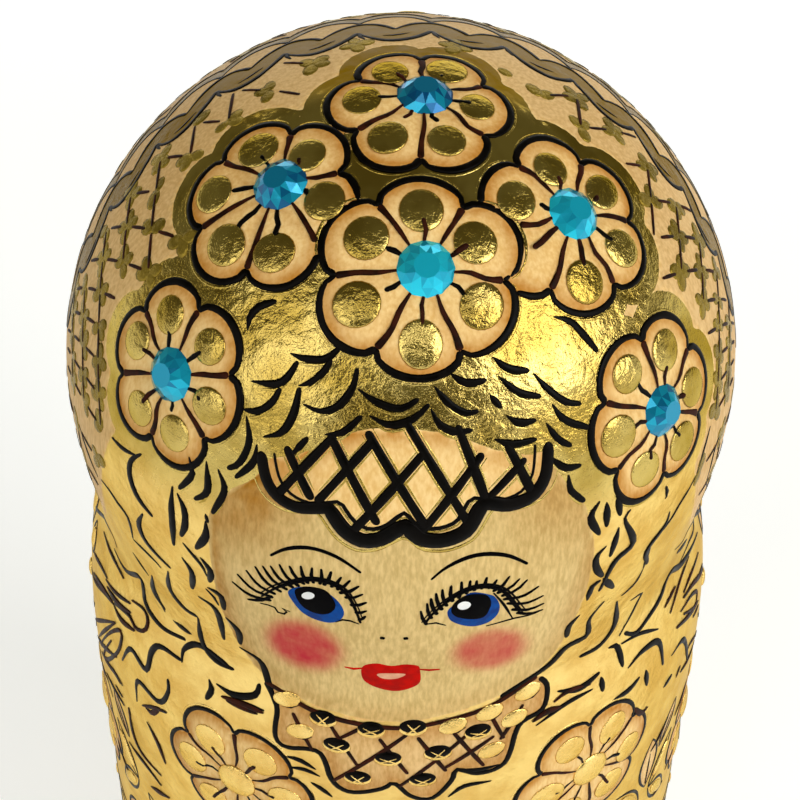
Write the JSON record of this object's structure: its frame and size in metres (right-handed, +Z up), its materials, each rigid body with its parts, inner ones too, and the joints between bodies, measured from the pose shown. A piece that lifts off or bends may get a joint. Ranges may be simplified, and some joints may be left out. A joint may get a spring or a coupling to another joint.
{
  "type": "nesting doll",
  "caption": "Turned wooden nesting doll with a gilded, flowered kerchief and cut blue stones; each doll parts at a collar and holds the next.",
  "frame": {"origin": "centre of the flat foot of the outer doll, on the surface that it stands on", "axes": "+Z up along the turning axis; the face looks along -Y; +X to the viewer's right"},
  "size_m": [0.079, 0.079, 0.1807],
  "materials": {
    "turned_wood": "linden wood with burnt line drawing, gold and lacquer",
    "stone": "faceted acrylic stone, clear teal blue with a foil back"
  },
  "bodies": {
    "outer_lower": {"outer_lower_half": "turned_wood"},
    "outer_upper": {"outer_upper_half": "turned_wood", "outer_stone_centre": "stone", "outer_stone_top": "stone", "outer_stone_upper_left": "stone", "outer_stone_upper_right": "stone", "outer_stone_left": "stone", "outer_stone_right": "stone"},
    "second_lower": {"second_lower_half": "turned_wood"},
    "second_upper": {"second_upper_half": "turned_wood", "second_stone_centre": "stone", "second_stone_upper_left": "stone", "second_stone_upper_right": "stone"},
    "third_lower": {"third_lower_half": "turned_wood"},
    "third_upper": {"third_upper_half": "turned_wood", "third_stone_centre": "stone", "third_stone_upper_left": "stone", "third_stone_upper_right": "stone"},
    "fourth_lower": {"fourth_lower_half": "turned_wood"},
    "fourth_upper": {"fourth_upper_half": "turned_wood", "fourth_stone_centre": "stone"},
    "smallest": {"smallest_doll": "turned_wood", "smallest_stone_centre": "stone"}
  },
  "joints": [
    {"name": "outer_upper_lift", "type": "slide", "parent": "outer_lower", "child": "outer_upper", "axis": [0, 0, 1], "range_m": [0, 0.5]},
    {"name": "second_doll_lift", "type": "slide", "parent": "outer_lower", "child": "second_lower", "axis": [0, 0, 1], "range_m": [0, 0.082]},
    {"name": "second_upper_lift", "type": "slide", "parent": "second_lower", "child": "second_upper", "axis": [0, 0, 1], "range_m": [0, 0.335]},
    {"name": "third_doll_lift", "type": "slide", "parent": "second_lower", "child": "third_lower", "axis": [0, 0, 1], "range_m": [0, 0.066]},
    {"name": "third_upper_lift", "type": "slide", "parent": "third_lower", "child": "third_upper", "axis": [0, 0, 1], "range_m": [0, 0.2]},
    {"name": "fourth_doll_lift", "type": "slide", "parent": "third_lower", "child": "fourth_lower", "axis": [0, 0, 1], "range_m": [0, 0.054]},
    {"name": "fourth_upper_lift", "type": "slide", "parent": "fourth_lower", "child": "fourth_upper", "axis": [0, 0, 1], "range_m": [0, 0.09]},
    {"name": "smallest_doll_lift", "type": "slide", "parent": "fourth_lower", "child": "smallest", "axis": [0, 0, 1], "range_m": [0, 0.044]}
  ],
  "couplings": [
    {"joint": "second_doll_lift", "follows": "outer_upper_lift", "ratio": 0.164},
    {"joint": "second_upper_lift", "follows": "outer_upper_lift", "ratio": 0.67},
    {"joint": "third_doll_lift", "follows": "outer_upper_lift", "ratio": 0.132},
    {"joint": "third_upper_lift", "follows": "outer_upper_lift", "ratio": 0.4},
    {"joint": "fourth_doll_lift", "follows": "outer_upper_lift", "ratio": 0.108},
    {"joint": "fourth_upper_lift", "follows": "outer_upper_lift", "ratio": 0.18},
    {"joint": "smallest_doll_lift", "follows": "outer_upper_lift", "ratio": 0.088}
  ]
}
